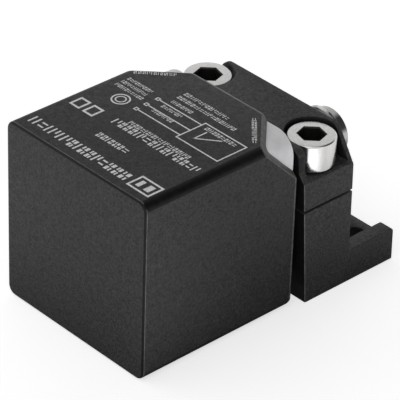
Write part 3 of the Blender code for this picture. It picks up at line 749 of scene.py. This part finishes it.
def clamp_front(z):
    """The bracket's front face leans: its y at a height z."""
    return CLAMP_FRONT_BOTTOM_Y + (CLAMP_FRONT_SEAT_Y - CLAMP_FRONT_BOTTOM_Y) * z / SEAT_Z


def clamp_half(z):
    """The bracket's sides taper: half its width at a height z."""
    return BASE_HIGH.x + (CLAMP_HALF_SEAT - BASE_HIGH.x) * z / SEAT_Z


def clamp_bore():
    """Bore for the neck with the rib that stands in the neck's groove."""
    rib = (SCREW_Y - CLAMP_RIB_WIDTH / 2, SCREW_Y + CLAMP_RIB_WIDTH / 2)
    radius = NECK_R + CLEARANCE
    profile = [(radius, CLAMP_FRONT_SEAT_Y - REACH), (radius, rib[0]), (CLAMP_RIB_R, rib[0]),
               (CLAMP_RIB_R, rib[1]), (radius, rib[1]), (radius, CLAMP_REAR_Y + REACH)]
    return turned("bore", profile)


def base_body():
    """Block, floor and ribs in one: a side view whose sides follow the bracket's taper."""
    top = BASE_HIGH.z
    rib_end = arc((FOOT_END_Y - RIB_END_R, RIB_HEIGHT - RIB_END_R), RIB_END_R, 0, 90, 8)
    outline = [(clamp_front(0.0), 0.0), (FOOT_END_Y, 0.0)] + rib_end
    outline += [(CLAMP_REAR_Y, RIB_HEIGHT), (CLAMP_REAR_Y, top), (clamp_front(top), top)]
    rings = [[(side * clamp_half(z), y, z) for y, z in outline] for side in (-1, 1)]
    return stack("bracket_base", rings, FINISH["bracket_plastic"])


def floor_channel():
    """The space over the foot's floor between its ribs."""
    half, end = clamp_half(0.0) - RIB_WIDTH, FOOT_END_Y + REACH
    outline = [(-half, CLAMP_REAR_Y), (half, CLAMP_REAR_Y), (half, end), (-half, end)]
    return prism_z("channel", outline, FOOT_THICKNESS, RIB_HEIGHT + REACH)


def mounting_slot(side):
    end_r = SLOT_WIDTH / 2
    straight = (SLOT_LENGTH - SLOT_WIDTH) / 2
    x = side * SLOT_X
    outline = arc((x, straight), end_r, 0, 180, 20) + arc((x, -straight), end_r, 180, 360, 20)
    return prism_z("slot", outline, -REACH, RIB_HEIGHT + REACH)


def insert_hole(side):
    """Stepped hole from below for a threaded insert, then clearance for the screw."""
    flange_r, insert_r = (INSERT_HIGH.x - INSERT_LOW.x) / 2 + CLEARANCE, INSERT_R + CLEARANCE
    flange_z, shoulder_z = INSERT_LOW.z + INSERT_FLANGE_H + CLEARANCE, INSERT_HIGH.z + CLEARANCE
    shaft = SCREW_R + CLEARANCE
    profile = [(flange_r, -REACH), (flange_r, flange_z), (insert_r, flange_z), (insert_r, shoulder_z),
               (shaft, shoulder_z), (shaft, BASE_HIGH.z + REACH)]
    return turned("insert_hole", profile, x=side * SCREW_X, y=SCREW_Y, upright=True, sides=48)


def on_pocket_wall(normal, centre):
    """True on the upright walls around a screw head, and on the end of the wall in front of it."""
    beside = centre.y < SCREW_Y + POCKET_R + EDGE / 2 and abs(centre.x) > SCREW_X - POCKET_R - EDGE
    return beside and centre.z > SEAT_Z + EDGE and abs(normal.z) < 0.3


def bracket_faces(piece):
    """Front that mates with the head painted near-black as shade, and the corners beside it painted pale as
    a highlight.
    """
    polish(piece, FINISH["polished_painted_light"], facing_head)
    return polish(piece, FINISH["edge_painted_highlight"], on_front_corner)


def base_block():
    """Fixed lower half of the clamp with the mounting foot."""
    base = base_body()
    combine(base, floor_channel())
    combine(base, clamp_bore())
    for side in (-1, 1):
        combine(base, mounting_slot(side))
        combine(base, insert_hole(side))
    return bracket_faces(round_edges(base))


def cap_outline():
    """Front view of the cap: flat top, round-cornered walls and a sloping ledge beside them."""
    bottom = CAP_LOW.z
    corner = (WALL_HALF - WALL_CORNER_R, CLAMP_TOP_Z - WALL_CORNER_R)
    right = [(clamp_half(bottom), bottom), (CLAMP_HALF_SEAT, SEAT_Z), (WALL_HALF, SEAT_Z + LEDGE_HEIGHT)]
    return mirrored(right + arc(corner, WALL_CORNER_R, 0, 90, 10))


def shoulder_cutter(side):
    """Rounds and slopes the cap's shoulder behind the screw pocket."""
    centre = (SHOULDER_TOP_X, CLAMP_TOP_Z - SHOULDER_R)
    curve = arc(centre, SHOULDER_R, 90, 90 - SHOULDER_SLOPE, 10)
    run = 2 * REACH
    end = (curve[-1][0] + run, curve[-1][1] - run * math.tan(math.radians(SHOULDER_SLOPE)))
    outline = curve + [end, (end[0], CLAMP_TOP_Z + REACH), (SHOULDER_TOP_X, CLAMP_TOP_Z + REACH)]
    outline = [(side * x, z) for x, z in outline]
    return prism_y("shoulder", outline, SCREW_Y + POCKET_R - CLEARANCE, CLAMP_REAR_Y + REACH)


def screw_pocket(side):
    """Pocket for the screw head, round on the inner side and open to the outer side."""
    x = side * SCREW_X
    outer_x = side * (BASE_HIGH.x + REACH)
    inner = arc((x, SCREW_Y), POCKET_R, 90, 90 + side * 180, 32)
    outline = inner + [(outer_x, inner[-1][1]), (outer_x, inner[0][1])]
    return prism_z("pocket", outline, SEAT_Z, CLAMP_TOP_Z + REACH)


def cap_hole(side):
    radius = SCREW_R + CLEARANCE
    return turned("cap_hole", [(radius, CAP_LOW.z - REACH), (radius, SEAT_Z + REACH)],
                  x=side * SCREW_X, y=SCREW_Y, upright=True, sides=48)


def cap_block():
    """Upper half of the clamp with its screw pockets."""
    cap = prism_y("bracket_cap", cap_outline(), clamp_front, CLAMP_REAR_Y, FINISH["bracket_plastic"])
    combine(cap, clamp_bore())
    for side in (-1, 1):
        combine(cap, shoulder_cutter(side))
        combine(cap, screw_pocket(side))
        combine(cap, cap_hole(side))
    # The walls around the screw heads are near-black: painted shade.
    return polish(bracket_faces(round_edges(cap)), FINISH["pocket_painted_shade"], on_pocket_wall)


# ------------------------ fasteners

def socket_screw(name, side):
    """M6 socket-head screw with a rolled thread, bevelled head and chamfered hexagon socket."""
    x = side * SCREW_X
    under, top, end = SCREW_HIGH.z - SCREW_HEAD_H, SCREW_HIGH.z, SCREW_LOW.z
    depth = THREAD_DEPTH * SCREW_PITCH
    grip = under - 1.2 * MM
    profile = [(SCREW_R - depth, end), (SCREW_R - depth * 0.5, end + 0.3 * MM)]
    profile += thread_rows(SCREW_R, end + 0.5 * MM, grip, SCREW_PITCH)
    head_r = (SCREW_HIGH.x - SCREW_LOW.x) / 2
    roll = SCREW_ROLL_R
    profile += [(SCREW_R, under), (head_r - 0.15 * MM, under), (head_r, under + 0.15 * MM)]
    profile += [(head_r - roll + roll * math.cos(a), top - roll + roll * math.sin(a))
                for a in (math.radians(90) * i / 5 for i in range(6))]
    screw = turned(name, profile, FINISH["nickel"], x=x, y=SCREW_Y, upright=True, sides=96,
                   thread=depth, pitch=SCREW_PITCH)
    corner_r = SOCKET_FLATS / math.sqrt(3)
    entry = corner_r + 0.18 * MM
    rings = [(corner_r, top - SOCKET_DEPTH), (corner_r, top - 0.32 * MM),
             (entry, top - 0.1 * MM), (entry + 0.1 * MM, top + REACH)]
    hexagon = [[(px, py, z) for px, py in circle((x, SCREW_Y), r, 6, SOCKET_TURN)] for r, z in rings]
    combine(screw, stack("socket", hexagon, FINISH["socket"]))
    return smooth(screw, 28)


def knurled_insert(name, side):
    """Flanged brass insert with an axial knurl between two plain bands."""
    x = side * SCREW_X
    bore, flange_r = SCREW_R + CLEARANCE, (INSERT_HIGH.x - INSERT_LOW.x) / 2
    low, high = INSERT_LOW.z, INSERT_HIGH.z
    bands = [(low + INSERT_FLANGE_H + 0.6 * MM, high - 6.2 * MM), (high - 5.2 * MM, high - 0.8 * MM)]
    profile = [(bore, low), (flange_r - 0.2 * MM, low), (flange_r, low + 0.2 * MM),
               (flange_r, low + INSERT_FLANGE_H), (INSERT_R - 0.35 * MM, low + INSERT_FLANGE_H)]
    for start, stop in bands:
        profile += [(INSERT_R - 0.35 * MM, start), (INSERT_R, start, 1.0), (INSERT_R, stop, 1.0),
                    (INSERT_R - 0.35 * MM, stop)]
    profile += [(INSERT_R - 0.35 * MM, high), (bore, high)]
    insert = turned(name, profile, FINISH["brass"], x=x, y=SCREW_Y, upright=True, sides=120, hollow=True)
    knurl(insert, x, INSERT_R, 0.28 * MM)
    return smooth(insert, 25)


def knurl(piece, x, radius, depth):
    """Press a groove beside every third vertex of the rows that stand at the full radius."""
    for vertex in piece.data.vertices:
        dx, dy = vertex.co.x - x, vertex.co.y - SCREW_Y
        if abs(math.hypot(dx, dy) - radius) > 0.01 * MM:
            continue
        step = round(math.degrees(math.atan2(dy, dx)) / 3.0)
        if step % 3 == 0:
            vertex.co.x -= dx / radius * depth
            vertex.co.y -= dy / radius * depth


# ------------------------ connector

def threaded_shell():
    """Plated M12 shell: thread in the neck, flange, thread for the plug and a plain lead-in."""
    depth = THREAD_DEPTH * PLUG_PITCH
    thread_end = SHELL_HIGH.y - PLUG_LEAD_LENGTH
    profile = [(PLUG_BORE_R, SHELL_LOW.y), (PLUG_THREAD_R - depth, SHELL_LOW.y)]
    profile += thread_rows(PLUG_THREAD_R, SHELL_LOW.y + 0.3 * MM, FLANGE_FRONT_Y - 0.4 * MM, PLUG_PITCH)
    profile += [(PLUG_THREAD_R, FLANGE_FRONT_Y), (PLUG_FLANGE_R - CHAMFER, FLANGE_FRONT_Y),
                (PLUG_FLANGE_R, FLANGE_FRONT_Y + CHAMFER), (PLUG_FLANGE_R, FLANGE_REAR_Y - CHAMFER),
                (PLUG_FLANGE_R - CHAMFER, FLANGE_REAR_Y), (PLUG_THREAD_R - depth, FLANGE_REAR_Y)]
    profile += thread_rows(PLUG_THREAD_R, FLANGE_REAR_Y + 0.5 * MM, thread_end - 0.3 * MM, PLUG_PITCH)
    profile += [(PLUG_LEAD_R, thread_end), (PLUG_LEAD_R, SHELL_HIGH.y - CHAMFER),
                (PLUG_LEAD_R - CHAMFER, SHELL_HIGH.y), (PLUG_BORE_R + 0.1 * MM, SHELL_HIGH.y),
                (PLUG_BORE_R, SHELL_HIGH.y - 0.1 * MM)]
    shell = turned("plug_shell", profile, FINISH["plug_metal"], hollow=True, sides=120,
                   thread=depth, pitch=PLUG_PITCH)
    return smooth(shell, 28)


def seal_ring():
    """O-ring between the neck's end and the flange."""
    section_r = (SEAL_HIGH.y - SEAL_LOW.y) / 2
    centre = ((SEAL_HIGH.x - SEAL_LOW.x) / 2 - section_r, (SEAL_LOW.y + SEAL_HIGH.y) / 2)
    return turned("seal_ring", circle(centre, section_r, 24), FINISH["rubber"], hollow=True, sides=96)


def pin_places():
    return circle((0.0, AXIS_Z), PIN_CIRCLE_R, 4, 45.0)


def pin_insert():
    """Contact carrier with its chamfered pin holes and the coding slot."""
    radius = (CARRIER_HIGH.x - CARRIER_LOW.x) / 2
    face = CARRIER_HIGH.y
    profile = [(radius, CARRIER_LOW.y), (radius, face - 0.2 * MM), (radius - 0.2 * MM, face)]
    insert = turned("pin_insert", profile, FINISH["housing_plastic"], sides=72)
    hole_r = PIN_R + CLEARANCE
    for x, z in pin_places():
        hole = [(hole_r, CARRIER_LOW.y - REACH), (hole_r, face - 0.3 * MM),
                (hole_r + 0.3 * MM, face), (hole_r + 0.3 * MM, face + REACH)]
        combine(insert, turned("hole", hole, x=x, z=z, sides=24))
    half, floor_z = CODING_WIDTH / 2, AXIS_Z + radius - CODING_DEPTH
    outline = [(-half, floor_z), (half, floor_z), (half, floor_z + REACH), (-half, floor_z + REACH)]
    combine(insert, prism_y("slot", outline, face - CODING_LENGTH, face + REACH))
    return smooth(insert)


def pin(number, x, z):
    """Round contact pin with a domed tip."""
    low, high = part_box(f"contact_pin_{number}")
    profile = [(PIN_R - 0.1 * MM, low.y), (PIN_R, low.y + 0.1 * MM)]
    profile += [(PIN_R * math.cos(a), high.y - PIN_R + PIN_R * math.sin(a))
                for a in (math.radians(84) * i / 6 for i in range(7))]
    return turned(f"plug_pin_{number}", profile, FINISH["gold"], x=x, z=z, sides=32)


# ------------------------ generic print

class Print:
    """Flat raised shapes on the head's top, gathered into one mesh. Sizes are in millimetres."""

    def __init__(self):
        self.bm = bmesh.new()
        self.bottom = HEAD_HIGH.z + PRINT_LIFT
        self.top = self.bottom + PRINT_THICKNESS

    def shape(self, outline, hole=None):
        """Extrude an outline; a hole has as many points as the outline."""
        rings = [[self.bm.verts.new((x * MM, y * MM, z)) for x, y in ring]
                 for ring, z in self.rows(outline, hole)]
        pairs = list(zip(rings, rings[1:]))
        if hole is None:
            self.bm.faces.new(rings[0])
            self.bm.faces.new(rings[-1])
        else:
            pairs.append((rings[-1], rings[0]))
        for low, high in pairs:
            for i in range(len(outline)):
                j = (i + 1) % len(outline)
                self.bm.faces.new((low[i], low[j], high[j], high[i]))

    def rows(self, outline, hole):
        if hole is None:
            return [(outline, self.bottom), (outline, self.top)]
        return [(outline, self.bottom), (outline, self.top), (hole, self.top), (hole, self.bottom)]

    def bar(self, x, y, width, height):
        self.shape([(x, y), (x + width, y), (x + width, y + height), (x, y + height)])

    def frame(self, x, y, width, height, line):
        outer = [(x, y), (x + width, y), (x + width, y + height), (x, y + height)]
        inner = [(x + line, y + line), (x + width - line, y + line),
                 (x + width - line, y + height - line), (x + line, y + height - line)]
        self.shape(outer, inner)

    def ring(self, x, y, radius, line):
        self.shape(circle((x, y), radius, 40), circle((x, y), radius - line, 40))

    def stroke(self, start, end, line):
        """A straight line of a given width."""
        along = Vector((end[0] - start[0], end[1] - start[1])).normalized() * line / 2
        side = Vector((-along.y, along.x))
        self.shape([(start[0] + side.x, start[1] + side.y), (start[0] - side.x, start[1] - side.y),
                    (end[0] - side.x, end[1] - side.y), (end[0] + side.x, end[1] + side.y)])

    def marks(self, rng, start, length, height, angle):
        """A row of marks, standing for a line of print."""
        turn = math.radians(angle)
        along, up = Vector((math.cos(turn), math.sin(turn))), Vector((-math.sin(turn), math.cos(turn)))
        at = 0.0
        while at < length - height * 0.4:
            width = height * rng.choice(MARK_WIDTHS)
            for outline in self.mark(rng, width, height, height * MARK_LINE):
                self.shape([tuple(Vector(start) + along * (at + u) + up * v) for u, v in outline])
            at += width + height * MARK_GAP

    def mark(self, rng, width, height, line):
        """Outlines of one mark, none of them a character: uneven posts, bars or staggered blocks."""
        kind = rng.choice(MARK_KINDS)
        middle = width / 2

        def box(low_u, high_u, low_v, high_v):
            return [(low_u, low_v), (high_u, low_v), (high_u, high_v), (low_u, high_v)]

        if width < height * 0.3:
            return [box(0.0, line, 0.0, height)]
        if kind == "posts":
            return [box(0.0, line, 0.0, height), box(width - line, width, height * 0.4, height)]
        if kind == "bars":
            return [box(0.0, width, level * height, level * height + line) for level in (0.15, 0.65)]
        return [box(0.0, middle, 0.0, height * 0.45), box(middle, width, height * 0.55, height),
                box(width - line, width, 0.0, height * 0.4), box(0.0, line, height * 0.6, height)]


def wiring_diagram(panel, x, y):
    """A plain box with three leads to the left and two inner lines."""
    width, height, line = 11.7, 7.9, 0.3
    panel.frame(x, y, width, height, line)
    panel.bar(x + 2.6, y + 2.2, line, height - 4.4)
    panel.stroke((x + 2.6, y + 2.2), (x + 7.0, y + 5.7), line)
    for level in (1.0, 3.6, 6.6):
        panel.bar(x - 11.8, y + level, 11.8, line)
        panel.frame(x - 12.9, y + level - 0.35, 1.0, 1.0, 0.25)


def printed_panel():
    """Generic rows, frames and a diagram in place of the print on the head's top."""
    rng = random.Random(PRINT_SEED)
    panel = Print()
    for row in PRINT_ROWS:
        panel.marks(rng, *row)
    for frame_row in PRINT_FRAMES:
        panel.frame(*frame_row)
    for bar in PRINT_BARS:
        panel.bar(*bar)
    for ring in PRINT_RINGS:
        panel.ring(*ring)
    wiring_diagram(panel, *DIAGRAM_PLACE)
    return new_piece("printed_panel", panel.bm, FINISH["ink"])


# ------------------------ studio

def area_light(name, location, target, size, power):
    data = bpy.data.lights.new(name, 'AREA')
    data.shape = 'DISK'
    data.size = size
    data.energy = power
    lamp = bpy.data.objects.new(name, data)
    lamp.location = location
    lamp.rotation_mode = 'QUATERNION'
    lamp.rotation_quaternion = (Vector(target) - Vector(location)).to_track_quat('-Z', 'Y')
    bpy.context.scene.collection.objects.link(lamp)


def floor():
    """A plain pale floor, clear from below. The camera sees it white, with a faint contact shadow.

    To the object it glows instead, with a painted shadow that keeps it dim where its own shadow lies,
    brighter beyond, and a painted pool of light on the right.
    """
    outline = [(-FLOOR_HALF, -FLOOR_HALF), (FLOOR_HALF, -FLOOR_HALF),
               (FLOOR_HALF, FLOOR_HALF), (-FLOOR_HALF, FLOOR_HALF)]
    bm = bmesh.new()
    bm.faces.new([bm.verts.new((x, y, -FLOOR_DROP)) for x, y in outline])
    paper = Shader("floor_paper", (0.8, 0.8, 0.8), 0.9)

    def reach(centre, near, far, at_near, at_far):
        gap = paper.node("ShaderNodeVectorMath", operation='DISTANCE')
        paper.set(gap, 0, paper.place)
        paper.set(gap, 1, centre)
        return paper.span(gap.outputs["Value"], near, far, at_near, at_far)

    # Painted shadow and painted pool of light in the floor's glow, which only the object sees
    shaded = reach(SHADE_CENTRE, *SHADE_REACH, FLOOR_DARK, FLOOR_BRIGHT)
    spot = reach(SPOT_CENTRE, *SPOT_REACH, SPOT_GAIN, 0.0)
    painted_bounce = paper.node("ShaderNodeEmission")
    paper.set(painted_bounce, "Strength", paper.math('ADD', shaded, spot))
    glow = paper.node("ShaderNodeEmission")
    paper.set(glow, "Strength", FLOOR_GLOW)
    total = paper.node("ShaderNodeAddShader")
    paper.set(total, 0, glow.outputs[0])
    paper.set(total, 1, paper.principled.outputs[0])

    def either(share, first, second):
        """Mix two shaders by a share."""
        switch = paper.node("ShaderNodeMixShader")
        for index, value in enumerate((share, first, second)):
            paper.set(switch, index, value)
        return switch.outputs[0]

    camera_ray = paper.node("ShaderNodeLightPath").outputs["Is Camera Ray"]
    from_above = either(camera_ray, painted_bounce.outputs[0], total.outputs[0])
    backfacing = paper.node("ShaderNodeNewGeometry").outputs["Backfacing"]
    surface = either(backfacing, from_above, paper.node("ShaderNodeBsdfTransparent").outputs[0])
    paper.set(paper.tree.nodes["Material Output"], "Surface", surface)
    new_piece("floor", bm, paper.material)


def world():
    """White to the camera; to the object a soft room with one dark stretch behind on the right."""
    room = bpy.data.worlds.new("room")
    room.use_nodes = True
    tree = room.node_tree

    def node(kind, **inputs):
        made = tree.nodes.new(kind)
        for key, value in inputs.items():
            key = key.replace("_", " ")
            if isinstance(value, bpy.types.NodeSocket):
                tree.links.new(value, made.inputs[key])
            else:
                made.inputs[key].default_value = value
        return made

    toward = tree.nodes.new("ShaderNodeTexCoord").outputs["Generated"]
    height = node("ShaderNodeSeparateXYZ", Vector=toward).outputs["Z"]
    sky = node("ShaderNodeMapRange", Value=height, From_Min=0.0, From_Max=1.0,
               To_Min=ROOM_HORIZON, To_Max=ROOM_TOP).outputs[0]
    angle = tree.nodes.new("ShaderNodeVectorMath")
    angle.operation = 'DOT_PRODUCT'
    tree.links.new(toward, angle.inputs[0])
    angle.inputs[1].default_value = Vector(DARK_TOWARD).normalized()
    dark = node("ShaderNodeMapRange", Value=angle.outputs["Value"], From_Min=DARK_EDGE[0],
                From_Max=DARK_EDGE[1], To_Min=1.0, To_Max=DARK_SHARE).outputs[0]
    seen_sky = tree.nodes.new("ShaderNodeMath")
    seen_sky.operation = 'MULTIPLY'
    tree.links.new(sky, seen_sky.inputs[0])
    tree.links.new(dark, seen_sky.inputs[1])
    pick = tree.nodes.new("ShaderNodeMix")
    camera_ray = tree.nodes.new("ShaderNodeLightPath").outputs["Is Camera Ray"]
    tree.links.new(camera_ray, pick.inputs["Factor"])
    tree.links.new(seen_sky.outputs[0], pick.inputs["A"])
    pick.inputs["B"].default_value = 1.0
    background = tree.nodes["Background"]
    tree.links.new(pick.outputs["Result"], background.inputs["Strength"])
    background.inputs["Color"].default_value = (1.0, 1.0, 1.0, 1.0)
    bpy.context.scene.world = room


def camera():
    """The photograph's viewpoint: from the right, in front and above, with a long lens."""
    data = bpy.data.cameras.new("camera")
    data.sensor_width = 36.0
    data.lens = CAMERA_LENS
    data.clip_start = 0.01
    back = Vector((math.sin(CAMERA_TURN) * math.cos(CAMERA_TILT),
                   -math.cos(CAMERA_TURN) * math.cos(CAMERA_TILT), math.sin(CAMERA_TILT)))
    view = bpy.data.objects.new("camera", data)
    view.location = CAMERA_TARGET + back * CAMERA_DISTANCE
    view.rotation_mode = 'QUATERNION'
    view.rotation_quaternion = Quaternion(back, CAMERA_ROLL) @ (-back).to_track_quat('-Z', 'Y')
    bpy.context.scene.collection.objects.link(view)
    bpy.context.scene.camera = view


# ------------------------ assembly

def place(piece, body, slot, *nodes):
    """Let a piece ride on a body and stand for CAD nodes; the slot is not used."""
    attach(piece, body)
    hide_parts(*nodes)


def dress_inner_parts():
    """The parts inside the head keep their CAD shapes and get a material of their own."""
    finishes = {"neck_potting": "epoxy", "ferrite_core": "ferrite", "coil_bobbin": "carrier_plastic",
                "coil_winding": "copper", "core_carrier": "carrier_plastic", "main_board": "board",
                "led_board": "board", "oscillator_chip": "epoxy"}
    finishes.update({f"output_transistor_{n}": "epoxy" for n in (1, 2)})
    finishes.update({f"filter_capacitor_{n}": "capacitor_ceramic" for n in (1, 2)})
    finishes.update({f"status_led_{n}": "led_lens" for n in (1, 2, 3, 4)})
    for node, finish in finishes.items():
        part = frame["nodes"][node]
        part.data.materials.clear()
        part.data.materials.append(FINISH[finish])


def build():
    place(head_shell(), "head", "housing_plastic", "head_housing")
    place(light_guide(), "head", "light_plastic", "light_frame")
    place(neck_plate(), "head", "housing_plastic", "rear_cover")
    place(printed_panel(), "head", "light_plastic")
    place(base_block(), "base", "bracket_plastic", "clamp_base")
    place(cap_block(), "cap", "bracket_plastic", "clamp_cap")
    for name, side in (("left", -1), ("right", 1)):
        place(socket_screw(f"socket_screw_{name}", side), f"screw_{name}", "nickel", f"clamp_screw_{name}")
        place(knurled_insert(f"knurled_insert_{name}", side), "base", "brass", f"threaded_insert_{name}")
    place(threaded_shell(), "head", "nickel", "connector_shell")
    place(seal_ring(), "head", "rubber", "connector_seal")
    place(pin_insert(), "head", "housing_plastic", "contact_carrier")
    for number, (x, z) in enumerate(pin_places(), start=1):
        place(pin(number, x, z), "head", "gold", f"contact_pin_{number}")
    dress_inner_parts()


build()
floor()
world()
camera()
area_light("key", (0.3, -0.5, 0.8), (0.0, -0.03, 0.02), 0.5, KEY_POWER)
area_light("fill", (-0.6, -0.4, 0.5), (0.0, -0.03, 0.02), 0.6, FILL_POWER)
bpy.context.scene.view_settings.view_transform = 'Standard'
